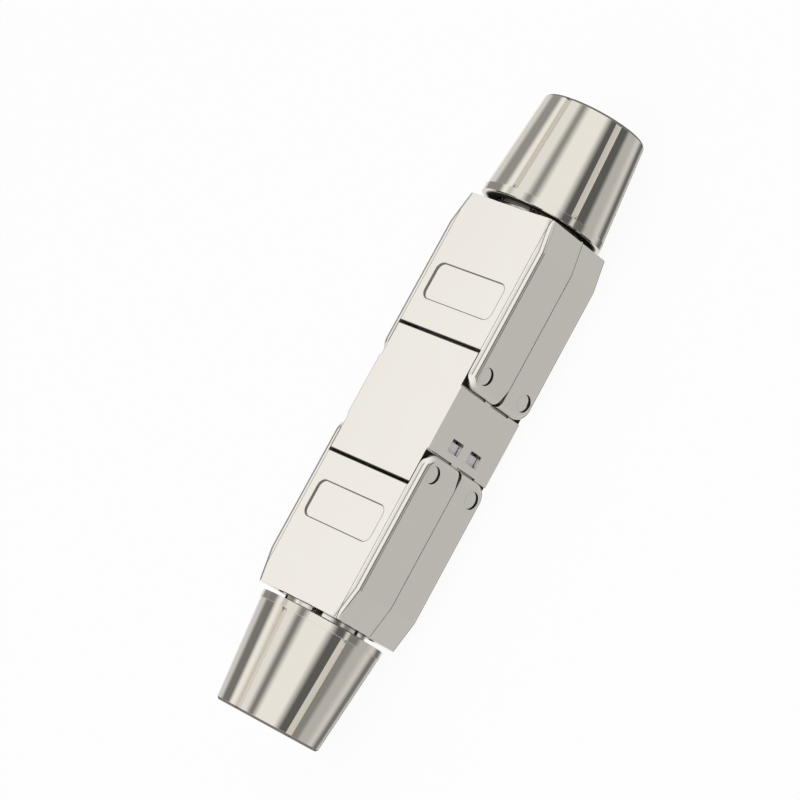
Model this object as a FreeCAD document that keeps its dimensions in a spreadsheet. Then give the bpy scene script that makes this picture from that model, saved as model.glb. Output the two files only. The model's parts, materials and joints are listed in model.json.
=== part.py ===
import FreeCAD, Part
import os
import re

import Sketcher
from FreeCAD import Placement, Rotation, Vector

# Shielded inline coupler for twisted-pair cable. Two cables meet in the middle: each end has a pair
# of hinged covers that press the wires into a terminal block, and a fluted nut that squeezes the
# covers' split collar onto the cable.
# Frame: +X along the cables, +Z through the marked covers, origin on the axis at the middle.
# End a is at +X and end b at -X; front is -Y and back is +Y. Millimetres and degrees.

SIZES = {
    # Outer casing
    "CoverWidth": 20.0,
    "BodyHeight": 14.2,
    "CoverReach": 32.2,
    "TaperLength": 4.95,
    "TaperEndWidth": 17.9,
    "CoverWall": 1.2,
    "CoverEdgeChamfer": 0.6,
    "SeamHeight": -0.7,
    "SeamGap": 0.1,
    # Recessed marking field on each upper cover
    "FieldMiddle": 17.98,
    "FieldLength": 5.85,
    "FieldWidth": 14.4,
    "FieldDepth": 0.25,
    "FieldCornerRadius": 1.25,
    # Centre housing
    "PanelReach": 10.38,
    "PanelGap": 0.45,
    "EarStep": 1.1,
    "HousingWall": 1.4,
    "EarSeatDepth": 0.25,
    "EarSeatMargin": 0.08,
    "EarBayMargin": 0.33,
    "UpperBayFoot": 1.4,
    "LowerBayFoot": -4.3,
    # Cover ears and hinge pins
    "EarLap": 5.08,
    "EarPlay": 0.1,
    "EarCornerRadius": 2.3,
    "EarReliefReach": 2.87,
    "EarReliefRise": 0.87,
    "PinInset": 2.41,
    "PinDrop": 2.4,
    "PinRadius": 1.3,
    "PinPlay": 0.05,
    "PinSink": 0.3,
    # Latch windows in the housing
    "WindowStart": 1.8,
    "WindowLength": 1.98,
    "WindowLow": 0.98,
    "WindowTall": 2.45,
    "LatchSink": 0.7,
    "LatchPlay": 0.1,
    "LatchGap": 0.42,
    # Contact carrier and circuit board
    "FitPlay": 0.1,
    "CarrierInset": 0.48,
    "BoardMargin": 1.0,
    "BoardThickness": 1.2,
    "BoardPlay": 0.05,
    # Terminal blocks, contacts and wire caps
    "TerminalGap": 0.5,
    "TerminalLength": 6.2,
    "ChannelWidth": 1.5,
    "ChannelDepth": 1.6,
    "ContactThickness": 0.5,
    "ContactWidth": 2.0,
    "ContactSink": 0.5,
    "ContactPlay": 0.06,
    "ContactInset": 2.2,
    "ContactStagger": 1.9,
    "SlitWidth": 0.4,
    "SlitDepth": 1.5,
    "SlitMouth": 0.3,
    "CapPlay": 0.1,
    "CapThickness": 1.05,
    "CapRoom": 0.15,
    "RibWidth": 1.1,
    "RibDepth": 0.35,
    # Split collar on the covers
    "CollarRadius": 6.55,
    "CollarBore": 5.1,
    "CollarLength": 11.85,
    "CollarGap": 0.6,
    "FingerSlot": 1.7,
    "FingerSlotTurn": 32.0,
    "FingerChamfer": 0.8,
    # Cable nut
    "NutGap": 0.85,
    "RimInset": 0.29,
    "RimWidth": 1.2,
    "RimStep": 0.13,
    "NutTaper": 1.38,
    "NutTipChamfer": 0.35,
    "ThreadRoom": 0.45,
    "TipRoom": 0.3,
    "SqueezeLength": 2.0,
    "CableExitRadius": 4.75,
    "ExitLength": 3.65,
    "GrooveCount": 6,
    "GrooveWidth": 0.95,
    "GrooveDepth": 0.4,
    "GrooveTurn": 8.5,
}

TOP = "BodyHeight / 2"
EAR_END = "(PanelReach - EarLap)"
PIN_ALONG = "(PanelReach - PinInset)"
PIN_HEIGHT = "(BodyHeight / 2 - PinDrop)"
COVER_HALF = "CoverWidth / 2"
TOP_WALL_START = "(PanelReach + PanelGap)"
END_WALL_START = "(CoverReach - CoverWall)"
TAPER_START = "(CoverReach - TaperLength)"
CAVITY_TOP = "(BodyHeight / 2 - CoverWall)"
HOUSING_HALF = "(CoverWidth / 2 - EarStep)"
SEAT_HALF = f"({HOUSING_HALF} - EarSeatDepth)"
TUNNEL_HALF = f"({SEAT_HALF} - HousingWall)"
TUNNEL_TOP = "(BodyHeight / 2 - HousingWall)"
EAR_INNER = f"({SEAT_HALF} + EarPlay)"
CARRIER_REACH = "(PanelReach - CarrierInset)"
BOARD_HALF = f"({TUNNEL_HALF} - BoardMargin)"
BOARD_TOP = "(BoardThickness / 2)"
TERMINAL_START = "(PanelReach + TerminalGap)"
TERMINAL_END = f"({TERMINAL_START} + TerminalLength)"
TERMINAL_TOP = f"({CAVITY_TOP} - CapRoom - CapThickness - CapPlay)"
CONTACT_TIP = f"({TERMINAL_TOP} - ContactSink)"
CHANNEL_PITCH = f"({BOARD_HALF} / 2)"
COLLAR_TIP = "(CoverReach + CollarLength)"
THREAD_RADIUS = "(CollarRadius + ThreadRoom)"
THREAD_END = f"({COLLAR_TIP} + TipRoom)"
RIM_RADIUS = f"({COVER_HALF} - RimInset)"
ROOT_RADIUS = f"({RIM_RADIUS} - RimStep)"
TIP_RADIUS = f"({ROOT_RADIUS} - NutTaper)"
NUT_START = "(CoverReach + NutGap)"
NUT_END = f"({THREAD_END} + SqueezeLength + ExitLength)"

PLAIN = Rotation()
HALF_TURN_X = Rotation(Vector(1, 0, 0), 180)
HALF_TURN_Y = Rotation(Vector(0, 1, 0), 180)
HALF_TURN_Z = Rotation(Vector(0, 0, 1), 180)
CORNERS = {
    ("a", "upper"): PLAIN,
    ("a", "lower"): HALF_TURN_X,
    ("b", "upper"): HALF_TURN_Z,
    ("b", "lower"): HALF_TURN_Y,
}

doc = FreeCAD.newDocument("InlineCoupler")
sheet = doc.addObject("Spreadsheet::Sheet", "Sizes")
for row, (name, value) in enumerate(SIZES.items(), start=1):
    sheet.set(f"A{row}", name)
    sheet.set(f"B{row}", str(value))
    sheet.setAlias(f"B{row}", name)
doc.recompute()


def bound(formula):
    """A formula of sheet names as another object of the document reads it."""
    return re.sub(r"[A-Z]\w+", lambda word: "Sizes." + word[0], formula)


def number(formula):
    """What a formula of sheet names comes to."""
    return float(sheet.evalExpression(bound(formula)))


def new_body(label, rotation=PLAIN):
    body = doc.addObject("PartDesign::Body", label)
    body.Label = label
    body.Placement = Placement(Vector(), rotation)
    return body


def origin_plane(body, role):
    return next(item for item in body.Origin.OriginFeatures if item.Role == role)


class Drawing:
    """A sketch on one of its body's own planes, with every point tied to the sheet."""

    def __init__(self, body, name, plane, lift="0", turn="0"):
        self.sketch = body.newObject("Sketcher::SketchObject", name)
        self.sketch.AttachmentSupport = [(origin_plane(body, plane), "")]
        self.sketch.MapMode = "FlatFace"
        self.sketch.AttachmentOffset = Placement(Vector(), Rotation(Vector(0, 0, 1), number(turn)))
        self.sketch.setExpression("AttachmentOffset.Base.z", bound(lift))

    def rule(self, constraint, formula):
        index = self.sketch.addConstraint(constraint)
        self.sketch.setExpression(f"Constraints[{index}]", bound(formula))

    def hold(self, line, end, x, y):
        """Fix one end of a line, or a centre, at x, y from the sketch's origin."""
        for kind, axis, formula in (("DistanceX", -2, x), ("DistanceY", -1, y)):
            if formula == "0":
                self.sketch.addConstraint(Sketcher.Constraint("PointOnObject", line, end, axis))
            else:
                self.rule(Sketcher.Constraint(kind, -1, 1, line, end, number(formula)), formula)

    def outline(self, points):
        """A closed chain of straight lines through points given as pairs of formulas."""
        places = [Vector(number(x), number(y), 0) for x, y in points]
        first = self.sketch.GeometryCount
        count = len(points)
        for step in range(count):
            line = Part.LineSegment(places[step], places[(step + 1) % count])
            self.sketch.addGeometry(line, False)
        for step in range(count):
            after = first + (step + 1) % count
            self.sketch.addConstraint(Sketcher.Constraint("Coincident", first + step, 2, after, 1))
            self.hold(first + step, 1, *points[step])
        return self

    def rectangle(self, left, right, low, high):
        return self.outline([(left, low), (right, low), (right, high), (left, high)])

    def circle(self, x, y, radius):
        ring = Part.Circle(Vector(number(x), number(y), 0), Vector(0, 0, 1), number(radius))
        index = self.sketch.addGeometry(ring, False)
        self.hold(index, 3, x, y)
        self.rule(Sketcher.Constraint("Radius", index, number(radius)), radius)
        return self


def grow(body, kind, name, drawing, length=None, both=False, reverse=False):
    """Add a Pad or Pocket from a drawing and make sure that it changed the body."""
    before = body.Shape.Volume if body.Tip else 0.0
    feature = body.newObject("PartDesign::" + kind, name)
    feature.Profile = drawing.sketch
    feature.SideType = "Symmetric" if both else "One side"
    feature.Reversed = reverse
    if length is None:
        feature.Type = "ThroughAll"
    else:
        feature.setExpression("Length", bound(length))
    doc.recompute()
    changed = body.Shape.Volume - before
    if (changed > 0) != (kind == "Pad") or abs(changed) < 1e-6:
        raise RuntimeError(f"{body.Label}: {name} changed the volume by {changed}")
    return feature


def pad(body, name, drawing, length, **sides):
    return grow(body, "Pad", name, drawing, length, **sides)


def pocket(body, name, drawing, length=None, **sides):
    return grow(body, "Pocket", name, drawing, length, **sides)


def revolve(body, name, drawing):
    """Turn a drawing in the X, Z plane about the cable axis."""
    feature = body.newObject("PartDesign::Revolution", name)
    feature.Profile = drawing.sketch
    feature.ReferenceAxis = (drawing.sketch, ["H_Axis"])
    feature.Angle = 360
    doc.recompute()
    return feature


def dress(body, kind, name, size_name, wanted):
    """Fillet or chamfer the edges of the body's last shape that wanted() picks."""
    last = body.Tip
    picked = [f"Edge{i}" for i, edge in enumerate(last.Shape.Edges, start=1) if wanted(edge)]
    feature = body.newObject("PartDesign::" + kind, name)
    feature.Base = (last, picked)
    feature.setExpression("Size" if kind == "Chamfer" else "Radius", bound(size_name))
    doc.recompute()
    return feature


def near(one, other):
    return abs(one - other) < 1e-4


def lies_at(edge, **planes):
    """Whether both ends of an edge lie on each of the named planes, such as z=7.1."""
    ends = [vertex.Point for vertex in edge.Vertexes]
    return all(near(getattr(end, axis), place) for axis, place in planes.items() for end in ends)


def channel_middle(index):
    return f"({index} - 1.5) * {CHANNEL_PITCH}"


def make_centre_housing():
    """Die-cast tube that the covers hinge on, open at both ends, with latch windows in its sides."""
    body = new_body("centre_housing")
    panel = Drawing(body, "HousingPlan", "XY_Plane")
    panel.rectangle("-PanelReach", "PanelReach", "-" + HOUSING_HALF, HOUSING_HALF)
    pad(body, "HousingBlock", panel, "BodyHeight", both=True)

    tunnel = Drawing(body, "TunnelSection", "YZ_Plane")
    tunnel.rectangle("-" + TUNNEL_HALF, TUNNEL_HALF, "-" + TUNNEL_TOP, TUNNEL_TOP)
    pocket(body, "Tunnel", tunnel, both=True)

    seats = draw_ear_seats(body, "EarSeatPlan", "0", "EarSeatMargin")
    pocket(body, "EarSeats", seats, both=True)
    for name, foot, head in (("Upper", "UpperBayFoot", TOP), ("Lower", "LowerBayFoot", "0")):
        bays = draw_ear_seats(body, name + "BayPlan", foot, "EarBayMargin")
        pocket(body, name + "Bays", bays, f"{head} - {foot}", reverse=True)

    holes = Drawing(body, "PinHolePlan", "XZ_Plane")
    for along in ("", "-"):
        for up in ("", "-"):
            holes.circle(f"{along}{PIN_ALONG}", f"{up}{PIN_HEIGHT}", "PinRadius")
    pocket(body, "PinHoles", holes, both=True)

    for side, along, reverse in (("Front", "-", True), ("Back", "", False)):
        windows = Drawing(body, side + "WindowPlan", "XZ_Plane")
        for up in ("", "-"):
            windows.rectangle(
                f"{along}WindowStart",
                f"{along}(WindowStart + WindowLength)",
                f"{up}WindowLow",
                f"{up}(WindowLow + WindowTall)",
            )
        pocket(body, side + "Windows", windows, reverse=reverse)
    return body


def draw_ear_seats(body, name, lift, margin):
    """Plan of the four places where ears lie on the housing's sides, each longer by a margin."""
    plan = Drawing(body, name, "XY_Plane", lift)
    for along in ("", "-"):
        for across in ("", "-"):
            plan.rectangle(
                f"{along}({EAR_END} - {margin})",
                f"{along}(PanelReach + 1)",
                f"{across}{SEAT_HALF}",
                f"{across}({HOUSING_HALF} + 1)",
            )
    return plan


def make_contact_carrier():
    """Plastic block in the housing that grips the board, with a latch lug in each window."""
    body = new_body("contact_carrier")
    half = f"({TUNNEL_HALF} - FitPlay)"
    rise = f"({TUNNEL_TOP} - FitPlay)"
    block = Drawing(body, "CarrierSection", "YZ_Plane")
    block.rectangle("-" + half, half, "-" + rise, rise)
    pad(body, "CarrierBlock", block, f"2 * {CARRIER_REACH}", both=True)

    groove = Drawing(body, "BoardSlotSection", "YZ_Plane")
    wide = f"({BOARD_HALF} + BoardPlay)"
    tall = f"({BOARD_TOP} + BoardPlay)"
    groove.rectangle("-" + wide, wide, "-" + tall, tall)
    pocket(body, "BoardSlot", groove, both=True)

    for side, along, lift, reverse in (("Front", "-", half, False), ("Back", "", "-" + half, True)):
        lugs = Drawing(body, side + "LugPlan", "XZ_Plane", lift)
        for up in ("", "-"):
            lugs.rectangle(
                f"{along}(WindowStart + LatchGap)",
                f"{along}(WindowStart + WindowLength - LatchPlay)",
                f"{up}(WindowLow + LatchPlay)",
                f"{up}(WindowLow + WindowTall - LatchPlay)",
            )
        pad(body, side + "Lugs", lugs, f"{HOUSING_HALF} - LatchSink - {half}", reverse=reverse)
    return body


def make_circuit_board():
    body = new_body("circuit_board")
    plan = Drawing(body, "BoardPlan", "XY_Plane")
    plan.rectangle("-" + TERMINAL_END, TERMINAL_END, "-" + BOARD_HALF, BOARD_HALF)
    pad(body, "Board", plan, "BoardThickness", both=True)
    return body


def make_hinge_pin(label, along, up, rotation):
    """Pin pressed through the housing wall, its end sunk a little in the cover's ear."""
    body = new_body(label, rotation)
    section = Drawing(body, "PinSection", "XZ_Plane", TUNNEL_HALF)
    section.circle(f"{along}{PIN_ALONG}", f"{up}{PIN_HEIGHT}", "PinRadius")
    pad(body, "Pin", section, f"{COVER_HALF} - PinSink - {TUNNEL_HALF}")
    return body


def make_terminal_block(label, rotation):
    """Plastic comb on the board: four wire channels with a slot for a contact in each."""
    body = new_body(label, rotation)
    section = Drawing(body, "CombSection", "YZ_Plane", TERMINAL_START)
    points = [("-" + BOARD_HALF, BOARD_TOP), (BOARD_HALF, BOARD_TOP), (BOARD_HALF, TERMINAL_TOP)]
    for index in (3, 2, 1, 0):
        middle = channel_middle(index)
        points.append((f"{middle} + ChannelWidth / 2", TERMINAL_TOP))
        points.append((f"{middle} + ChannelWidth / 2", f"{TERMINAL_TOP} - ChannelDepth"))
        points.append((f"{middle} - ChannelWidth / 2", f"{TERMINAL_TOP} - ChannelDepth"))
        points.append((f"{middle} - ChannelWidth / 2", TERMINAL_TOP))
    points.append(("-" + BOARD_HALF, TERMINAL_TOP))
    section.outline(points)
    pad(body, "Comb", section, "TerminalLength")

    slots = Drawing(body, "ContactSlotPlan", "XY_Plane", TERMINAL_TOP)
    for index in range(4):
        row = contact_row(index)
        middle = channel_middle(index)
        slots.rectangle(
            f"{row} - ContactThickness / 2 - ContactPlay",
            f"{row} + ContactThickness / 2 + ContactPlay",
            f"{middle} - ContactWidth / 2 - ContactPlay",
            f"{middle} + ContactWidth / 2 + ContactPlay",
        )
    pocket(body, "ContactSlots", slots)
    return body


def contact_row(index):
    """Where along the block a channel's contact stands: neighbours are staggered."""
    return f"({TERMINAL_START} + ContactInset + {index % 2} * ContactStagger)"


def make_contacts(label, rotation):
    """Four slit blades that cut into the wires, standing on the board."""
    body = new_body(label, rotation)
    for row in range(2):
        blades = Drawing(body, f"BladeSection{row}", "YZ_Plane", f"{contact_row(row)} - ContactThickness / 2")
        for index in (row, row + 2):
            middle = channel_middle(index)
            left_side = []
            right_side = []
            for across, height in (
                ("ContactWidth / 2", BOARD_TOP),
                ("ContactWidth / 2", CONTACT_TIP),
                ("(SlitWidth / 2 + SlitMouth)", CONTACT_TIP),
                ("SlitWidth / 2", f"{CONTACT_TIP} - SlitMouth"),
                ("SlitWidth / 2", f"{CONTACT_TIP} - SlitDepth"),
            ):
                right_side.append((f"{middle} + {across}", height))
                left_side.append((f"{middle} - {across}", height))
            blades.outline(right_side + left_side[::-1])
        pad(body, f"Blades{row}", blades, "ContactThickness")
    return body


def make_wire_cap(label, rotation):
    """Ribbed plastic cap under the cover that presses the wires down into the contacts."""
    body = new_body(label, rotation)
    low = f"({TERMINAL_TOP} + CapPlay)"
    high = f"({TERMINAL_TOP} + CapPlay + CapThickness)"
    section = Drawing(body, "CapSection", "YZ_Plane", TERMINAL_START)
    points = [(BOARD_HALF, high), ("-" + BOARD_HALF, high), ("-" + BOARD_HALF, low)]
    for index in range(4):
        middle = channel_middle(index)
        points.append((f"{middle} - RibWidth / 2", low))
        points.append((f"{middle} - RibWidth / 2", f"{low} - RibDepth"))
        points.append((f"{middle} + RibWidth / 2", f"{low} - RibDepth"))
        points.append((f"{middle} + RibWidth / 2", low))
    points.append((BOARD_HALF, low))
    section.outline(points)
    pad(body, "Cap", section, "TerminalLength")
    return body


def casing_outline(inset, start):
    """Plan of a cover: straight sides that draw in towards the nut, offset inwards by a wall."""
    wide = f"(CoverWidth / 2 - {inset})"
    narrow = f"(TaperEndWidth / 2 - {inset})"
    end = "CoverReach" if inset == "0" else END_WALL_START
    corners = [(start, wide), (TAPER_START, wide), (end, narrow)]
    return [(x, "-" + y) for x, y in corners] + corners[::-1]


def make_cover(label, rotation, level):
    """Hinged half shell with two ears at the housing and half of the split collar at the end."""
    body = new_body(label, rotation)
    base = "(SeamHeight + SeamGap / 2)" if level == "upper" else "(SeamGap / 2 - SeamHeight)"
    ear_end = number(EAR_END)
    top = number(TOP)
    side = number(COVER_HALF)

    plan = Drawing(body, "CoverPlan", "XY_Plane", base)
    plan.outline(casing_outline("0", EAR_END))
    pad(body, "CoverBlock", plan, f"{TOP} - {base}")
    dress(body, "Fillet", "EarCorner", "EarCornerRadius", lambda edge: lies_at(edge, x=ear_end, z=top))

    def long_top_edge(edge):
        ends = [vertex.Point for vertex in edge.Vertexes]
        high = all(near(end.z, top) for end in ends)
        outward = all(abs(end.y) > side - 2 * number("CoverWall") for end in ends)
        same_side = ends[0].y * ends[-1].y > 0
        return high and outward and same_side

    dress(body, "Chamfer", "TopEdges", "CoverEdgeChamfer", long_top_edge)

    gap = Drawing(body, "HousingRoomPlan", "XY_Plane")
    gap.rectangle("0", TOP_WALL_START, "-" + EAR_INNER, EAR_INNER)
    pocket(body, "HousingRoom", gap, both=True)

    room = Drawing(body, "CavityPlan", "XY_Plane", base)
    room.outline(casing_outline(f"({COVER_HALF} - {EAR_INNER})", "0"))
    pocket(body, "Cavity", room, f"{CAVITY_TOP} - {base}", reverse=True)

    holes = Drawing(body, "PinHolePlan", "XZ_Plane")
    holes.circle(PIN_ALONG, PIN_HEIGHT, "PinRadius + PinPlay")
    pocket(body, "PinHoles", holes, both=True)

    mouth = Drawing(body, "CollarMouth", "YZ_Plane", "CoverReach")
    mouth.circle("0", "0", "CollarBore")
    pocket(body, "Mouth", mouth, "2 * CoverWall")

    ring = Drawing(body, "CollarProfile", "XZ_Plane")
    ring.outline([
        ("CoverReach", "CollarBore"),
        (COLLAR_TIP, "CollarBore"),
        (COLLAR_TIP, "CollarRadius - FingerChamfer"),
        (f"{COLLAR_TIP} - FingerChamfer", "CollarRadius"),
        ("CoverReach", "CollarRadius"),
    ])
    revolve(body, "Collar", ring)

    parting = f"({base} + CollarGap)" if level == "upper" else base
    other_half = Drawing(body, "CollarPartingPlan", "YZ_Plane", "CoverReach")
    other_half.rectangle("-CoverWidth", "CoverWidth", "-CoverWidth", parting)
    pocket(body, "CollarParting", other_half, reverse=True)

    for name, turn in (("Front", "FingerSlotTurn"), ("Back", "-FingerSlotTurn")):
        slot = Drawing(body, name + "SlotPlan", "YZ_Plane", "CoverReach", turn)
        slot.rectangle("-FingerSlot / 2", "FingerSlot / 2", "CollarBore / 2", "2 * CollarRadius")
        pocket(body, name + "Slot", slot, reverse=True)

    if level == "upper":
        make_ear_relief(body, base)
        make_marking_field(body)
    return body


def make_ear_relief(body, base):
    """Slope the ears' lower edges up from the seam, so that they stay clear when the cover swings."""
    relief = Drawing(body, "EarReliefPlan", "XZ_Plane")
    apex = f"({EAR_END} + EarReliefReach)"
    relief.outline([
        (f"({EAR_END} - 1)", f"({base} - 1)"),
        (apex, f"({base} - 1)"),
        (apex, base),
        (EAR_END, f"({base} + EarReliefRise)"),
        (f"({EAR_END} - 1)", f"({base} + EarReliefRise)"),
    ])
    pocket(body, "EarRelief", relief, both=True)


def make_marking_field(body):
    """Sink the rounded field for the marking into the cover's top."""
    field = Drawing(body, "FieldPlan", "XY_Plane", TOP)
    field.rectangle(
        "FieldMiddle - FieldLength / 2",
        "FieldMiddle + FieldLength / 2",
        "-FieldWidth / 2",
        "FieldWidth / 2",
    )
    pocket(body, "Field", field, "FieldDepth")
    floor = number(f"{TOP} - FieldDepth")
    top = number(TOP)

    def field_corner(edge):
        ends = sorted(vertex.Point.z for vertex in edge.Vertexes)
        upright = len(ends) == 2 and near(ends[0], floor) and near(ends[1], top)
        inside = near(abs(edge.CenterOfMass.y), number("FieldWidth / 2"))
        return upright and inside

    dress(body, "Fillet", "FieldCorners", "FieldCornerRadius", field_corner)


def make_cable_nut(label, rotation):
    """Cone-shaped nut with a plain rim, long grip grooves and a bore for the cable."""
    body = new_body(label, rotation)
    root = f"({NUT_START} + RimWidth)"
    profile = Drawing(body, "NutProfile", "XZ_Plane")
    profile.outline([
        (NUT_START, THREAD_RADIUS),
        (NUT_START, RIM_RADIUS),
        (root, RIM_RADIUS),
        (root, ROOT_RADIUS),
        (f"{NUT_END} - NutTipChamfer", TIP_RADIUS),
        (NUT_END, f"{TIP_RADIUS} - NutTipChamfer"),
        (NUT_END, "CableExitRadius"),
        (f"{THREAD_END} + SqueezeLength", "CableExitRadius"),
        (THREAD_END, THREAD_RADIUS),
    ])
    revolve(body, "NutBody", profile)

    flute = Drawing(body, "GrooveProfile", "XZ_Plane")
    flute.outline([
        (root, f"{ROOT_RADIUS} - GrooveDepth"),
        (f"{NUT_END} - NutTipChamfer", f"{TIP_RADIUS} - GrooveDepth"),
        (f"{NUT_END} + 1", f"{TIP_RADIUS} - GrooveDepth"),
        (f"{NUT_END} + 1", f"2 * {RIM_RADIUS}"),
        (root, f"2 * {RIM_RADIUS}"),
    ])
    groove = pocket(body, "Groove", flute, "GrooveWidth", both=True)
    pattern = body.newObject("PartDesign::PolarPattern", "Grooves")
    pattern.Originals = [groove]
    pattern.Axis = (origin_plane(body, "X_Axis"), [""])
    pattern.Angle = 360
    pattern.setExpression("Occurrences", bound("GrooveCount"))
    body.Tip = pattern
    doc.recompute()
    return body


pieces = [make_centre_housing(), make_contact_carrier(), make_circuit_board()]
for (end, level), rotation in CORNERS.items():
    pieces.append(make_cover(f"cover_{end}_{level}", rotation, level))
    pieces.append(make_terminal_block(f"terminal_block_{end}_{level}", rotation))
    pieces.append(make_contacts(f"wire_contacts_{end}_{level}", rotation))
    pieces.append(make_wire_cap(f"wire_cap_{end}_{level}", rotation))
    up = "" if level == "upper" else "-"
    along = "" if end == "a" else "-"
    opposite = "-" if end == "a" else ""
    pieces.append(make_hinge_pin(f"hinge_pin_{end}_{level}_front", along, up, PLAIN))
    pieces.append(make_hinge_pin(f"hinge_pin_{end}_{level}_back", opposite, up, HALF_TURN_Z))

groove_turn = Rotation(Vector(1, 0, 0), number("GrooveTurn"))
pieces.append(make_cable_nut("cable_nut_a", groove_turn))
pieces.append(make_cable_nut("cable_nut_b", groove_turn * HALF_TURN_Z))
doc.recompute()

for item in doc.Objects:
    if {"Invalid", "Error"} & set(item.State):
        raise RuntimeError(f"{item.Label} failed: {item.State}")
for piece in pieces:
    if piece.Shape.isNull() or not piece.Shape.isValid():
        raise RuntimeError(f"{piece.Label} has no valid shape")

os.makedirs("parts", exist_ok=True)
for piece in pieces:
    piece.Shape.exportStep(f"parts/{piece.Label}.step")
    print(f"{piece.Label}: {len(piece.Shape.Solids)} solid, {piece.Shape.Volume:.1f} mm3")
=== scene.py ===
# %% [markdown]
# # A shielded inline coupler for network cable
#
# The real coupler joins two installation cables without tools. Four die-cast covers hinge on a
# centre housing, press the wires into their contacts, and carry a split collar that a fluted nut
# closes on the cable. All the metal is nickel plated: satin on the covers, bright on the nuts.
#
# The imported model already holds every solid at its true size, so this lesson doesn't model the
# casing again. It adds what a solid model leaves out, the rolled thread on the collars, and then
# spends its effort on the metal, because nickel is nearly all reflection.

import json
import math

import bmesh
import bpy
from mathutils import Matrix, Vector


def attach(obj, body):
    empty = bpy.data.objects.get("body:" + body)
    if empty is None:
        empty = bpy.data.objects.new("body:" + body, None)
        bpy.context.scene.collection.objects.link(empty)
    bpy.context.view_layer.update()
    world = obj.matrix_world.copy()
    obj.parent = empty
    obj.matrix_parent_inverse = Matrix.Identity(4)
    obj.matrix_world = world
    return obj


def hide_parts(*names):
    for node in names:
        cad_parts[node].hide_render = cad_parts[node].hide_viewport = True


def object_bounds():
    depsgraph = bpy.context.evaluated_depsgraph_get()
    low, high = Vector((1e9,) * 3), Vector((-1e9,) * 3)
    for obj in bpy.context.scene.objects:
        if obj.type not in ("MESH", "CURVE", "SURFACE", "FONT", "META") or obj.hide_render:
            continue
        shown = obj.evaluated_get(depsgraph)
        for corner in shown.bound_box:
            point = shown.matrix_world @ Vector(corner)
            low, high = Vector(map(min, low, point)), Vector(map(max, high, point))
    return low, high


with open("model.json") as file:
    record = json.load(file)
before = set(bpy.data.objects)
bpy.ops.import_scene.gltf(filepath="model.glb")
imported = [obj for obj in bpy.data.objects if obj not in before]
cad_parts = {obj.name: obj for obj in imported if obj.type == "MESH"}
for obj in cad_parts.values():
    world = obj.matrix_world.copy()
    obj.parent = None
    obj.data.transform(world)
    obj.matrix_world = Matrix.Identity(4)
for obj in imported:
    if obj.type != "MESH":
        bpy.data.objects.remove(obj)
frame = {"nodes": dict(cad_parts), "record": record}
bpy.context.view_layer.update()
cad_box = [list(corner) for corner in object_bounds()]
print(len(frame["nodes"]), "nodes, box in metres:", cad_box)

# %% [markdown]
# ## A short way to write shader maths
#
# A material that changes over the surface is a sum of masks and noises. Built by hand, each plus
# sign is a node and two links, and the idea gets lost. A small class that wraps a node's output
# and takes over the arithmetic signs lets the maths read as maths. Any node that isn't arithmetic
# comes from one method, `add`, which is given the node's type, its settings and its inputs.

# %% The wrapped output and the shader that owns it
class Flow:
    """A value that comes out of a shader node. Arithmetic on it adds Math nodes."""

    def __init__(self, shader, socket):
        self.shader = shader
        self.socket = socket

    def calculate(self, operation, *values):
        return self.shader.add("ShaderNodeMath", {"operation": operation}, dict(enumerate(values)))

    def __add__(self, other):
        return self.calculate("ADD", self, other)

    __radd__ = __add__

    def __sub__(self, other):
        return self.calculate("SUBTRACT", self, other)

    def __rsub__(self, other):
        return self.calculate("SUBTRACT", other, self)

    def __mul__(self, other):
        return self.calculate("MULTIPLY", self, other)

    __rmul__ = __mul__

    def __truediv__(self, other):
        return self.calculate("DIVIDE", self, other)

    def __pow__(self, power):
        return self.calculate("POWER", self, power)

    def root(self):
        return self.calculate("SQRT", self)

    def absolute(self):
        return self.calculate("ABSOLUTE", self)

    def fraction(self):
        return self.calculate("FRACT", self)

    def sine(self):
        return self.calculate("SINE", self)

    def larger(self, other):
        return self.calculate("MAXIMUM", self, other)

    def above(self, low, high):
        """0 under low, 1 over high and a smooth rise between them."""
        settings = {"interpolation_type": "SMOOTHSTEP"}
        return self.shader.add("ShaderNodeMapRange", settings, {0: self, 1: low, 2: high})

    def below(self, low, high):
        """1 under low, 0 over high and a smooth fall between them."""
        return 1 - self.above(low, high)

    def between(self, rise, fall):
        """A smooth rise over the first pair of values, and a smooth fall over the second."""
        return self.above(*rise) * self.below(*fall)


class Shader:
    """The node tree of a material or of the world, emptied and ready to be written."""

    def __init__(self, owner, output):
        owner.use_nodes = True
        self.tree = owner.node_tree
        self.tree.nodes.clear()
        self.output = self.tree.nodes.new(output)

    def add(self, kind, settings=None, inputs=None, output=0):
        """Any node: its settings are made first, then its inputs are set or linked.

        The setting `stops` fills a colour ramp, from pairs of a place and a colour.
        """
        node = self.tree.nodes.new(kind)
        for name, value in (settings or {}).items():
            if name == "stops":
                stops = node.color_ramp.elements
                for count, (place, colour) in enumerate(value):
                    stop = stops[count] if count < 2 else stops.new(place)
                    stop.position = place
                    stop.color = (*colour, 1.0)
            else:
                setattr(node, name, value)
        for name, value in (inputs or {}).items():
            self.feed(node.inputs[name], value)
        return Flow(self, node.outputs[output])

    def feed(self, socket, value):
        if isinstance(value, Flow):
            self.tree.links.new(value.socket, socket)
        elif isinstance(value, tuple) and len(value) == 3 and len(socket.default_value) == 4:
            socket.default_value = (*value, 1.0)
        else:
            socket.default_value = value

    def surface(self, flow):
        self.tree.links.new(flow.socket, self.output.inputs["Surface"])


def mix_colours(shader, factor, first, second):
    """The Mix node's colour sockets have the numbers 6 and 7, and its colour output is 2."""
    inputs = {"Factor": factor, 6: first, 7: second}
    return shader.add("ShaderNodeMix", {"data_type": "RGBA"}, inputs, output=2)


print("shader maths ready")

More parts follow.
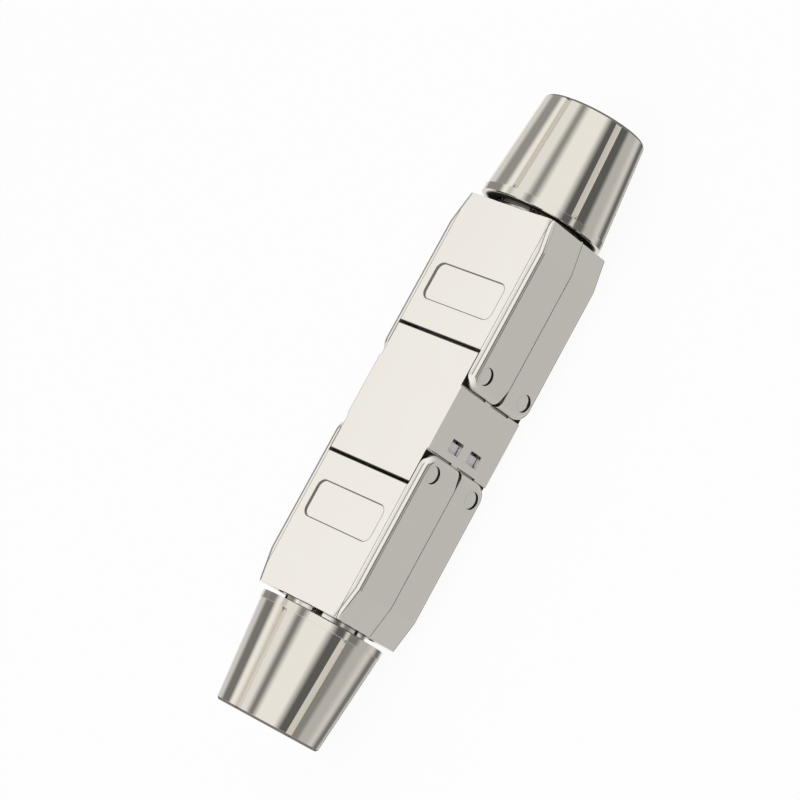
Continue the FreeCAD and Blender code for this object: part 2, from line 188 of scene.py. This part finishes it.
# %% [markdown]
# ## Where a point lies on the part
#
# Grain, tints and the nut's thread are laid out in the part's own millimetres. Object coordinates
# do that: every node's object stands at the origin, so its object coordinates are metres in the
# model's frame, and a nut keeps its pattern when it moves.

# %% Coordinates in millimetres
MILLIMETRE = 0.001


def place_on_part(shader):
    """The surface point in millimetres, as a vector."""
    metres = shader.add("ShaderNodeTexCoord", output="Object")
    settings = {"operation": "SCALE"}
    return shader.add("ShaderNodeVectorMath", settings, {0: metres, "Scale": 1 / MILLIMETRE})


def coordinate(place, axis):
    return place.shader.add("ShaderNodeSeparateXYZ", None, {"Vector": place}, output=axis)


def noise(shader, place, scale, detail):
    inputs = {"Vector": place, "Scale": scale, "Detail": detail}
    return shader.add("ShaderNodeTexNoise", None, inputs)


print("one unit of a pattern is a millimetre")

# %% [markdown]
# ## Plated metal
#
# Nickel on die-cast zinc is a mirror over a skin that isn't quite flat. Three things show it: a
# faint warm and cool drift of tint, some millimetres wide; a fine grain that softens the
# reflection, stronger on the satin covers than on the bright nuts; and edges that are never
# sharp. The edges come from a Bevel node, which rounds the shading of every edge by a set radius
# and leaves the mesh alone. Metallic is 1 on the plating, so the base colour there is the colour
# of the reflection.
#
# Narrow gaps and recesses get painted shade: their colour is made dark, standing in for the shade
# that falls into them. An Ambient Occlusion node finds such places: it falls towards 0 where walls
# stand close on all sides. Single surfaces that get painted shade, such as the wall of a pin hole,
# are found by their place on the part. A place with painted shade turns dark and rough, and its
# Metallic falls to 0, because even dark metal shines when it is seen at a flat angle.

# %% A maker for plated metal
DRIFT_SCALE = 0.16
GRAIN_SCALE = 9.0
# Painted shade: how far the Ambient Occlusion looks, the openness where painted shade gives way to
# plating, and the dark colour and roughness painted into gaps and recesses.
GAP_REACH = 0.9 * MILLIMETRE
UNSHADED_OPENNESS = (0.2, 0.55)
PAINTED_SHADE_COLOUR = (0.014, 0.013, 0.012)
PAINTED_SHADE_ROUGHNESS = 0.8


def make_plated(name, cool, warm, roughness, grain, edge_radius, thread=None, painted_shade=None):
    material = bpy.data.materials.new(name)
    shader = Shader(material, "ShaderNodeOutputMaterial")
    place = place_on_part(shader)
    drift = noise(shader, place, DRIFT_SCALE, 1.0).above(0.35, 0.65)
    reach = {"Distance": GAP_REACH}
    # Painted shade: where walls stand close, and where the mask marks, the colour turns dark, rough
    # and not metallic.
    openness = shader.add("ShaderNodeAmbientOcclusion", {"samples": 8}, reach, output="AO")
    unshaded_plating = openness.above(*UNSHADED_OPENNESS)
    if painted_shade:
        unshaded_plating = unshaded_plating * (1 - painted_shade(place))
    skin = noise(shader, place, GRAIN_SCALE, 3.0)
    height = skin * grain
    if thread:
        height = height + thread(place)
    rounded = shader.add("ShaderNodeBevel", {"samples": 8}, {"Radius": edge_radius * MILLIMETRE})
    bump = {"Strength": 1.0, "Distance": MILLIMETRE, "Height": height, "Normal": rounded}
    tint = mix_colours(shader, drift, cool, warm)
    polish = (skin - 0.5) * (roughness * 0.3) + roughness
    metal = {
        "Base Color": mix_colours(shader, unshaded_plating, PAINTED_SHADE_COLOUR, tint),
        "Metallic": unshaded_plating,
        "Specular IOR Level": 0.1,
        "Roughness": polish + (1 - unshaded_plating) * PAINTED_SHADE_ROUGHNESS,
        "Normal": shader.add("ShaderNodeBump", None, bump),
    }
    shader.surface(shader.add("ShaderNodeBsdfPrincipled", None, metal))
    return material


# Gaps narrower than this get painted shade.
print("gaps narrower than about", round(GAP_REACH / MILLIMETRE, 2), "mm stay bare")

# %% Single places that get painted shade, in millimetres from the part's middle
# A pair of values is where a mask rises or falls, and two pairs are its rise and its fall.
PIN_ALONG = 7.97
PIN_HEIGHT = 4.7
PIN_HOLE_RADIUS = 1.35
PIN_HOLE_WALL = (PIN_HOLE_RADIUS + 0.01, PIN_HOLE_RADIUS + 0.04)
PIN_HOLE_MOUTH = (9.93, 9.97)
SEAT_FLOOR = ((8.6, 8.63), (8.67, 8.7))
SEAT_START = (4.9, 5.0)
SEAT_SHADE = (5.15, 5.3)
COVER_END = ((32.12, 32.16), (32.24, 32.28))
COLLAR_FOOT = ((7.1, 7.2), (7.5, 8.0))
COLLAR_NECK = ((32.76, 32.88), (33.25, 33.35))
COLLAR_RADIUS = (7.05, 7.1)
JOINT_START = 10.38
JOINT_END = 10.83
JOINT = ((JOINT_START - 0.12, JOINT_START - 0.06), (JOINT_END + 0.06, JOINT_END + 0.12))
JOINT_HEIGHT = (6.9, 7.0)
JOINT_WIDTH = (8.6, 8.65)
FIELD_MIDDLE = 17.98
FIELD_HALF_LENGTH = 2.925
FIELD_HALF_WIDTH = 7.2
FIELD_CORNER = 1.25
FIELD_LINE = (0.06, 0.11)
FIELD_HEIGHT = (6.7, 6.75)
print("the joint beside the housing's panel is", round(JOINT_END - JOINT_START, 2), "mm wide")

# %% Masks of the places that get painted shade on the covers and the housing
def field_wall_shade(along, across, height):
    """1 in a thin line of painted shade along the wall of the marking field on a cover's top."""
    past_end = ((along - FIELD_MIDDLE).absolute() - FIELD_HALF_LENGTH + FIELD_CORNER).larger(0.0)
    past_side = (across - FIELD_HALF_WIDTH + FIELD_CORNER).larger(0.0)
    from_wall = ((past_end**2 + past_side**2).root() - FIELD_CORNER).absolute()
    return from_wall.below(*FIELD_LINE) * height.above(*FIELD_HEIGHT)


def painted_shade_in_recesses(place):
    """1 where shade is painted dark: pin-hole walls, ear seats, a collar's foot, the panel's joint.
    """
    along = coordinate(place, "X").absolute()
    across = coordinate(place, "Y").absolute()
    height = coordinate(place, "Z")
    up = height.absolute()
    from_pin = ((along - PIN_ALONG) ** 2 + (up - PIN_HEIGHT) ** 2).root()
    from_axis = (across**2 + up**2).root()
    painted_shade = from_pin.below(*PIN_HOLE_WALL) * across.below(*PIN_HOLE_MOUTH)
    at_seat = along.above(*SEAT_START) * 0.25 + along.above(*SEAT_SHADE) * 0.75
    painted_shade = painted_shade.larger(across.between(*SEAT_FLOOR) * at_seat)
    painted_shade = painted_shade.larger(along.between(*COVER_END) * from_axis.between(*COLLAR_FOOT) * 0.9)
    painted_shade = painted_shade.larger(along.between(*COLLAR_NECK) * from_axis.below(*COLLAR_RADIUS) * 0.85)
    on_top = up.above(*JOINT_HEIGHT) * across.below(*JOINT_WIDTH)
    painted_shade = painted_shade.larger(along.between(*JOINT) * on_top * 0.8)
    return painted_shade.larger(field_wall_shade(along, across, height) * 0.7)


print("masks for pin holes, seats, collars, joint and marking field")

# %% Satin nickel and the pins' steel
# The covers, housing and collars get painted shade in their gaps and recesses and along the marking
# field's wall.
satin_nickel = make_plated(
    "satin_nickel",
    cool=(0.915, 0.883, 0.817),
    warm=(0.915, 0.873, 0.807),
    roughness=0.14,
    grain=0.0006,
    edge_radius=0.12,
    painted_shade=painted_shade_in_recesses,
)
pin_steel = make_plated(
    "pin_steel",
    cool=(0.91, 0.88, 0.82),
    warm=(0.9, 0.87, 0.81),
    roughness=0.12,
    grain=0.0008,
    edge_radius=0.04,
)
print("made", satin_nickel.name, "and", pin_steel.name)

# %% [markdown]
# ## The nut's inner thread
#
# Seen into its mouth, a nut shows the turns of its thread. They are fine and lie in a bore that
# only a loosened nut shows, so here a bump is enough: a wave that climbs one pitch for each turn
# about the cable axis, faded out at the bore's two ends and outside its radius. The turn about
# the axis is the angle of the point's y and z.

# %% The thread in the nut's bore, in millimetres
THREAD_PITCH = 1.0
BORE_RADIUS = 7.0
BORE_START = 33.05
BORE_END = 44.35
BORE_FADES = ((BORE_START, BORE_START + 0.4), (BORE_END - 0.4, BORE_END))
BUMP_HEIGHT = 0.16


def inner_thread(place):
    along = coordinate(place, "X")
    across = coordinate(place, "Y")
    up = coordinate(place, "Z")
    turn = across.calculate("ARCTAN2", across, up) / (2 * math.pi)
    wave = (along / THREAD_PITCH - turn) * (2 * math.pi)
    from_axis = (across**2 + up**2).root()
    inside = from_axis.below(BORE_RADIUS + 0.05, BORE_RADIUS + 0.15)
    return wave.sine() * inside * along.absolute().between(*BORE_FADES) * BUMP_HEIGHT


print("thread of", THREAD_PITCH, "mm pitch")

# %% The bright nut
NEAR_FACE = (BORE_START + 0.02, BORE_START + 0.06)
NEAR_FACE_SHADE = (8.5, 9.3)
TIP_CHAMFER = ((49.62, 49.68), (49.96, 49.99))
TIP_OUTSIDE = (6.0, 6.1)


def painted_shade_at_ends(place):
    """Painted shade where the nut looks at the cover, and a painted dark reflection, at three
    quarters, on the narrow chamfer of its tip.
    """
    along = coordinate(place, "X").absolute()
    from_axis = (coordinate(place, "Y") ** 2 + coordinate(place, "Z") ** 2).root()
    near_cover = along.below(*NEAR_FACE) * from_axis.below(*NEAR_FACE_SHADE)
    on_chamfer = along.between(*TIP_CHAMFER) * from_axis.above(*TIP_OUTSIDE)
    return near_cover.larger(on_chamfer * 0.75)


# The nuts get painted shade where they face the covers and a painted dark reflection on the tip's
# chamfer.
bright_nickel = make_plated(
    "bright_nickel",
    cool=(0.828, 0.788, 0.705),
    warm=(0.832, 0.784, 0.705),
    roughness=0.07,
    grain=0.0003,
    edge_radius=0.05,
    thread=inner_thread,
    painted_shade=painted_shade_at_ends,
)
print("made", bright_nickel.name)

# %% [markdown]
# ## Plastics, board and contacts
#
# The latch windows show the lilac-grey carrier, and an open end shows the comb, its caps and the
# blades. Moulded plastic is a plain colour with a fine spark-eroded grain: a little noise in its
# roughness and a shallow bump. The board is green lacquer over a faint weave of glass cloth.

# %% A maker for moulded plastic
def make_plastic(name, colour, shade, roughness):
    material = bpy.data.materials.new(name)
    shader = Shader(material, "ShaderNodeOutputMaterial")
    place = place_on_part(shader)
    grain = noise(shader, place, 7.0, 3.0)
    bump = {"Strength": 0.6, "Distance": MILLIMETRE, "Height": grain * 0.01}
    look = {
        "Base Color": mix_colours(shader, grain, colour, shade),
        "Roughness": grain * 0.15 + roughness,
        "Normal": shader.add("ShaderNodeBump", None, bump),
    }
    shader.surface(shader.add("ShaderNodeBsdfPrincipled", None, look))
    return material


carrier_plastic = make_plastic("carrier_plastic", (0.66, 0.63, 0.68), (0.72, 0.69, 0.74), 0.4)
block_plastic = make_plastic("block_plastic", (0.78, 0.78, 0.75), (0.84, 0.84, 0.81), 0.4)
print("made", carrier_plastic.name, "and", block_plastic.name)

# %% The circuit board and the tinned contacts
def make_board():
    material = bpy.data.materials.new("board_lacquer")
    shader = Shader(material, "ShaderNodeOutputMaterial")
    place = place_on_part(shader)
    weave = {"Vector": place, "Scale": 2.2, "Distortion": 0.4}
    warp = shader.add("ShaderNodeTexWave", {"bands_direction": "X"}, weave, output="Fac")
    weft = shader.add("ShaderNodeTexWave", {"bands_direction": "Y"}, weave, output="Fac")
    cloth = warp * weft
    look = {
        "Base Color": mix_colours(shader, cloth, (0.02, 0.16, 0.06), (0.05, 0.27, 0.1)),
        "Roughness": cloth * 0.1 + 0.22,
        "Normal": shader.add("ShaderNodeBump", None, {"Strength": 0.3, "Height": cloth * 0.00002}),
    }
    shader.surface(shader.add("ShaderNodeBsdfPrincipled", None, look))
    return material


board_lacquer = make_board()
tinned_bronze = make_plated(
    "tinned_bronze",
    cool=(0.78, 0.76, 0.72),
    warm=(0.8, 0.74, 0.66),
    roughness=0.22,
    grain=0.0005,
    edge_radius=0.05,
)
print("made", board_lacquer.name, "and", tinned_bronze.name)

# %% [markdown]
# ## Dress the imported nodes
#
# A node whose shape is right keeps its mesh and gets a better finish. The record names a material
# slot for each node, so one table from slot to finish dresses all of them, and a node that the
# table forgets would stop the script here.

# %% Finish of every slot
FINISHES = {
    "casing": satin_nickel,
    "nut_metal": bright_nickel,
    "pin_steel": pin_steel,
    "contact_metal": tinned_bronze,
    "board": board_lacquer,
    "carrier_plastic": carrier_plastic,
    "block_plastic": block_plastic,
}

for subpart in frame["record"]["subparts"]:
    node = frame["nodes"][subpart["node"]]
    node.data.materials.clear()
    node.data.materials.append(FINISHES[subpart["material_slot"]])

# %% [markdown]
# ## Rounded long edges on the covers
#
# A casting leaves its die by way of rounded edges, and on bright metal a rounding is a line of its
# own: it gathers the whole room, so it runs light, dark and light again between two flat faces.
# The solid has a flat chamfer there. Rounding only its shading would bend the reflections, but the
# outline would stay cut, so each cover is copied, its chamfer's two edges are bevelled with bmesh,
# and the copy replaces the node. The tangent of half of 45 degrees gives the bevel's width for the
# radius that is wanted.

# %% Find and bevel the chamfer's edges
EDGE_RADIUS = 0.88
BEVEL_WIDTH = EDGE_RADIUS * math.tan(math.radians(22.5)) * MILLIMETRE
OUTSIDE_COLLAR = 8.0 * MILLIMETRE
TAPER_START = 27.25 * MILLIMETRE
CHAMFER_TURNS = (35, 55)
CREASE_TURN = 25
TAPER_TURN = 10
ONE_PLANE = math.radians(0.6)


def borders_chamfer(edge):
    least, most = CHAMFER_TURNS
    far_out = all(abs(corner.co.y) > OUTSIDE_COLLAR for corner in edge.verts)
    two_faces = len(edge.link_faces) == 2
    return far_out and two_faces and least < math.degrees(edge.calc_face_angle()) < most


def stays_sharp(edge):
    """True where two faces meet at a crease, such as the line where a cover starts to taper."""
    turn = math.degrees(edge.calc_face_angle(math.pi))
    at_taper = all(abs(abs(corner.co.x) - TAPER_START) < 0.1 * MILLIMETRE for corner in edge.verts)
    return turn > CREASE_TURN or (at_taper and turn > TAPER_TURN)


def round_cover(name):
    node = frame["nodes"][name]
    mesh = bmesh.new()
    mesh.from_mesh(node.data)
    bmesh.ops.remove_doubles(mesh, verts=mesh.verts, dist=0.002 * MILLIMETRE)
    bmesh.ops.dissolve_limit(mesh, angle_limit=ONE_PLANE, verts=mesh.verts, edges=mesh.edges)
    picked = [edge for edge in mesh.edges if borders_chamfer(edge)]
    bmesh.ops.bevel(
        mesh,
        geom=picked,
        offset=BEVEL_WIDTH,
        segments=4,
        profile=0.5,
        affect="EDGES",
        clamp_overlap=True,
    )
    for face in mesh.faces:
        face.smooth = True
    creases = [edge for edge in mesh.edges if stays_sharp(edge)]
    for edge in creases:
        edge.smooth = False
    data = bpy.data.meshes.new(name + "_rounded")
    mesh.to_mesh(data)
    mesh.free()
    data.materials.append(satin_nickel)
    cover = bpy.data.objects.new(name + "_rounded", data)
    bpy.context.scene.collection.objects.link(cover)
    even = cover.modifiers.new("flat faces stay flat", "WEIGHTED_NORMAL")
    even.weight = 100
    even.keep_sharp = True
    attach(cover, "coupler")
    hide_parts(name)
    print(name, len(picked), "edges rounded,", len(creases), "creases")


for name in ("cover_a_upper", "cover_a_lower", "cover_b_upper", "cover_b_lower"):
    round_cover(name)

# %% [markdown]
# ## The rolled thread on the collars
#
# Each collar is cut into six fingers, and the thread runs over all six as if the slots weren't
# there. It could be one swept helix with the slots cut out by a boolean, which is slow and leaves
# ragged ends. Here each finger gets its own ridges: the helix is walked in small turns, and only
# the stretch that lies on a finger is kept. A ridge rises from nothing at the first turn and sinks
# again at the last, as a rolled thread does, and it stays clear of the nut's bore.

# %% Sizes of the thread, and where the fingers start and end, in degrees from the upright
ROOT_RADIUS = 6.53
CREST_RADIUS = 6.88
THREAD_START = 33.4
THREAD_END = 43.0
SLOT_TURN = 32.0
SLOT_HALF = 7.7
SEAM_HALF = 6.7
FINGERS = [
    (-90.0, -SLOT_TURN - SLOT_HALF),
    (-SLOT_TURN + SLOT_HALF, SLOT_TURN - SLOT_HALF),
    (SLOT_TURN + SLOT_HALF, 90.0),
    (90.0 + SEAM_HALF, 180.0 - SLOT_TURN - SLOT_HALF),
    (180.0 - SLOT_TURN + SLOT_HALF, 180.0 + SLOT_TURN - SLOT_HALF),
    (180.0 + SLOT_TURN + SLOT_HALF, 270.0 - SEAM_HALF),
]
print(len(FINGERS), "fingers,", round(THREAD_END - THREAD_START, 1), "mm of thread")

# %% Walk the helix and build a ridge
PROFILE = [(-0.46, 0.0), (-0.09, 1.0), (0.09, 1.0), (0.46, 0.0)]
STEP_TURN = 4
FAINTEST_RISE = 0.05


def ridge_ring(mesh, along, degrees, rise):
    """Four corners of the ridge's section at one place on the helix."""
    turn = math.radians(degrees)
    ring = []
    for step, height in PROFILE:
        radius = ROOT_RADIUS + (CREST_RADIUS - ROOT_RADIUS) * rise * height
        point = Vector((along + step, radius * math.sin(turn), radius * math.cos(turn)))
        ring.append(mesh.verts.new(point * MILLIMETRE))
    return ring


def build_thread(name, half_turn):
    mesh = bmesh.new()
    for low, high in FINGERS:
        steps = max(4, round((high - low) / STEP_TURN))
        turns = [low + (high - low) * step / steps for step in range(steps + 1)]
        for count in range(int((THREAD_END - THREAD_START) / THREAD_PITCH) + 1):
            rings = []
            for degrees in turns:
                along = THREAD_START + THREAD_PITCH * (count + degrees / 360)
                room = min(along - THREAD_START + 0.5, THREAD_END - along)
                rise = min(1.0, max(0.0, room))
                if rise > FAINTEST_RISE:
                    rings.append(ridge_ring(mesh, along, degrees, rise))
            for one, after in zip(rings, rings[1:]):
                for side in range(len(PROFILE)):
                    beside = (side + 1) % len(PROFILE)
                    mesh.faces.new((one[side], one[beside], after[beside], after[side]))
            if len(rings) > 1:
                mesh.faces.new(rings[0][::-1])
                mesh.faces.new(rings[-1])
    if half_turn:
        mesh.transform(Matrix.Rotation(math.pi, 4, "Z"))
    bmesh.ops.recalc_face_normals(mesh, faces=mesh.faces)
    data = bpy.data.meshes.new(name)
    mesh.to_mesh(data)
    mesh.free()
    data.shade_smooth()
    data.set_sharp_from_angle(angle=math.radians(25))
    data.materials.append(satin_nickel)
    thread = bpy.data.objects.new(name, data)
    bpy.context.scene.collection.objects.link(thread)
    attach(thread, "coupler")
    return thread


for name, half_turn in (("collar_thread_a", False), ("collar_thread_b", True)):
    thread = build_thread(name, half_turn)
    print(name, len(thread.data.polygons), "faces")

# %% [markdown]
# ## The table
#
# The coupler lies on the rims of its two nuts, so the table is a plane at the model's lowest
# point. The Light Path node tells camera and glass rays apart from the rest, and those see mostly
# a plain white of strength 1, with the shadow of the coupler left in. So the background is white,
# and the lamps can stay at a plain level. The metal doesn't mirror the sheet: the lowest panels of
# the room, further down, stand in its place.

# %% A sheet of paper to lie on
def seen_directly(shader):
    """1 for rays from the camera and through glass, and 0 for light on the part."""
    camera = shader.add("ShaderNodeLightPath", output="Is Camera Ray")
    glass = shader.add("ShaderNodeLightPath", output="Is Transmission Ray")
    return camera.larger(glass)


def mix_shaders(shader, factor, first, second):
    return shader.add("ShaderNodeMixShader", None, {"Fac": factor, 1: first, 2: second})


paper = bpy.data.materials.new("paper_white")
sheet_shader = Shader(paper, "ShaderNodeOutputMaterial")
matt = sheet_shader.add("ShaderNodeBsdfDiffuse", None, {"Color": (0.95, 0.95, 0.95)})
plain = sheet_shader.add("ShaderNodeEmission", None, {"Color": (1.0, 1.0, 1.0), "Strength": 1.0})
PLAIN_SHARE = 0.93
white_share = seen_directly(sheet_shader) * PLAIN_SHARE
sheet_shader.surface(mix_shaders(sheet_shader, white_share, matt, plain))
print("made", paper.name)

# %% The sheet as a plane, in metres
TABLE_HEIGHT = cad_box[0][2]
TABLE_HALF = 2
around = ((-1, -1), (1, -1), (1, 1), (-1, 1))
corners = [(x * TABLE_HALF, y * TABLE_HALF, TABLE_HEIGHT) for x, y in around]
table_mesh = bpy.data.meshes.new("table")
table_mesh.from_pydata(corners, [], [(0, 1, 2, 3)])
table_mesh.materials.append(paper)
table = bpy.data.objects.new("table", table_mesh)
table.visible_glossy = False
bpy.context.scene.collection.objects.link(table)
print("table at", round(TABLE_HEIGHT * 1000, 2), "mm")

# %% [markdown]
# ## The room that the metal reflects
#
# In an all-white room polished metal has nothing to show and looks like paper. A photographer hangs
# long panels round it, white, grey and black, all in line with the cable axis, and their
# reflections draw the bands on a nut and the fine lines along a rounded edge. Real panels could be
# modelled, but they are far away against the size of the part, so only their direction counts, and
# a world can be painted by direction. A flat face then shows one even tone, as it does under far
# panels, and a curved one shows the whole row of them.
#
# The angle runs about the cable axis: 0 is the front, 90 overhead, 180 the back and -90 straight
# down. Each panel below has the angles where it starts and ends and how bright it is for
# directions that lean to the left and to the right end of the part. Between two panels the level
# changes evenly, which is how a soft edge looks. The panels hang a little askew to the cable, so
# the left nut shows them turned by a few degrees. Farther to the sides they end, and the room is
# pale, lighter above than below. One more dark panel hangs low at the back, just wide enough to be
# seen in the nuts' rims.
#
# A lean is how far a direction tilts to the right, as the tangent of its angle.

# %% The panels round the part, in degrees, and the leans where they change and end
ROOM_START = -121
PANELS = [
    # name, from, to, left level, right level
    ("floor", -121, -119, 0.88, 0.88),
    ("shadow below", -97, -87, 0.2, 0.15),
    ("low front", -71, -66, 0.7, 0.7),
    ("front", -52, -34, 0.53, 0.53),
    ("front black", -25, -10, 0.27, 0.12),
    ("strip light", -6, -2, 0.72, 0.72),
    ("high front black", 3, 16, 0.12, 0.12),
    ("large white", 31, 69, 0.96, 0.96),
    ("overhead black", 81, 86, 0.23, 0.31),
    ("high back white", 97, 113, 0.89, 0.89),
    ("high back grey", 120, 126, 0.66, 0.66),
    ("back strip", 131, 137, 0.98, 0.98),
    ("back black", 147, 168, 0.2, 0.33),
    ("back grey", 181, 197, 0.68, 0.75),
    ("low back white", 212, 222, 0.8, 0.97),
]
ASKEW = 9.0
LEFT_LEAN = -0.1
RIGHT_LEAN = 0.3
STRAIGHT_LEAN = 0.1
MIDDLE_LEAN = 0.12
PANELS_END = (0.3, 0.52)
LOW_PANEL_ANGLES = ((163, 169), (190, 197))
LOW_PANEL_LEANS = ((-0.03, 0.01), (0.2, 0.24))
print(len(PANELS), "panels round the part")

# %% Paint the world by direction
world = bpy.data.worlds.new("panel_room")
bpy.context.scene.world = world
room = Shader(world, "ShaderNodeOutputWorld")
direction = room.add("ShaderNodeTexCoord", output="Generated")
along = coordinate(direction, "X")
across = coordinate(direction, "Y")
up = coordinate(direction, "Z")
degrees = up.calculate("ARCTAN2", up, across * -1) * (180 / math.pi)
lean = along / (across**2 + up**2).root()
round_room = ((degrees + (lean - STRAIGHT_LEAN) * ASKEW - ROOM_START) / 360).fraction()


def panel_ramp(column):
    """The levels in one column of the table, as grey stops round the room."""
    stops = [(angle, row[column]) for row in PANELS for angle in row[1:3]]
    stops.append((ROOM_START + 360, PANELS[0][column]))
    stops = [((angle - ROOM_START) / 360, (level,) * 3) for angle, level in stops]
    return room.add("ShaderNodeValToRGB", {"stops": stops}, {"Fac": round_room})


def even_change(flow, low, high):
    """0 under low, 1 over high and a straight rise between them."""
    return flow.shader.add("ShaderNodeMapRange", None, {0: flow, 1: low, 2: high})


LEFT_LEVEL, RIGHT_LEVEL = 3, 4
rightness = even_change(lean, LEFT_LEAN, RIGHT_LEAN)
panels = mix_colours(room, rightness, panel_ramp(LEFT_LEVEL), panel_ramp(RIGHT_LEVEL))
turned = round_room * 360 + ROOM_START
low_panel = turned.between(*LOW_PANEL_ANGLES) * lean.between(*LOW_PANEL_LEANS)
panels = mix_colours(room, low_panel, panels, (0.3, 0.3, 0.3))
past_panels = (lean - MIDDLE_LEAN).absolute().above(*PANELS_END)
pale = mix_colours(room, up.above(-0.6, 0.6), (0.55, 0.55, 0.55), (0.95, 0.95, 0.95))
reflected = mix_colours(room, past_panels, panels, pale)
print("panels painted by direction")

# %% What the room is to each kind of ray
WHITE = (1.0, 1.0, 1.0)


def background(colour, strength):
    return room.add("ShaderNodeBackground", None, {"Color": colour, "Strength": strength})


light_on_part = background(WHITE, 0.5)
seen_white = background(WHITE, 1.0)
in_metal = background(reflected, 1.0)
gloss = room.add("ShaderNodeLightPath", output="Is Glossy Ray")
out_of_metal = mix_shaders(room, seen_directly(room), light_on_part, seen_white)
room.surface(mix_shaders(room, gloss, out_of_metal, in_metal))
print("world:", world.name)

# %% [markdown]
# ## Lamps
#
# Two large area lamps and the even light of the room give soft shadows. Their mirror images would
# burn out on the nuts, so glossy rays don't see them: the reflections come from the panels of the
# room. Together they light a matt surface that faces up to about its written colour.

# %% A large key and a fill
def hang_lamp(name, place, size, power):
    light = bpy.data.lights.new(name, "AREA")
    light.shape = "DISK"
    light.size = size
    light.energy = power
    lamp = bpy.data.objects.new(name, light)
    lamp.location = place
    lamp.rotation_euler = Vector(place).to_track_quat("Z", "Y").to_euler()
    lamp.visible_glossy = False
    bpy.context.scene.collection.objects.link(lamp)


hang_lamp("key_lamp", (-0.5, -0.5, 1.0), 1.2, 6.0)
hang_lamp("fill_lamp", (0.7, 0.5, 0.9), 1.2, 2.5)
print("two lamps hung")

# %% [markdown]
# ## The camera
#
# The photograph was taken with a long lens from about half a metre, above the front and rolled so
# that the part runs up the picture. The camera is written as its place and its three axes, which
# is the plain form that a fit to the photograph gives, and needs no angles.

# %% Place and axes of the camera
CAMERA_PLACE = Vector((-0.049328, -0.325365, 0.329936))
CAMERA_RIGHT = Vector((0.476532, -0.653755, -0.58781))
CAMERA_UP = Vector((0.872691, 0.27081, 0.406291))
CAMERA_VIEW = Vector((0.10643, 0.706588, -0.699576))

lens = bpy.data.cameras.new("camera")
lens.sensor_width = 36.0
lens.lens = 144.9405
lens.clip_start = 0.01
lens.clip_end = 20.0
camera = bpy.data.objects.new("camera", lens)
axes = Matrix((CAMERA_RIGHT, CAMERA_UP, -CAMERA_VIEW)).transposed()
camera.matrix_world = Matrix.Translation(CAMERA_PLACE) @ axes.to_4x4()
bpy.context.scene.collection.objects.link(camera)
bpy.context.scene.camera = camera
bpy.context.scene.view_settings.view_transform = "Standard"
print("lens", lens.lens, "mm")

# %% Finish
bpy.context.view_layer.update()
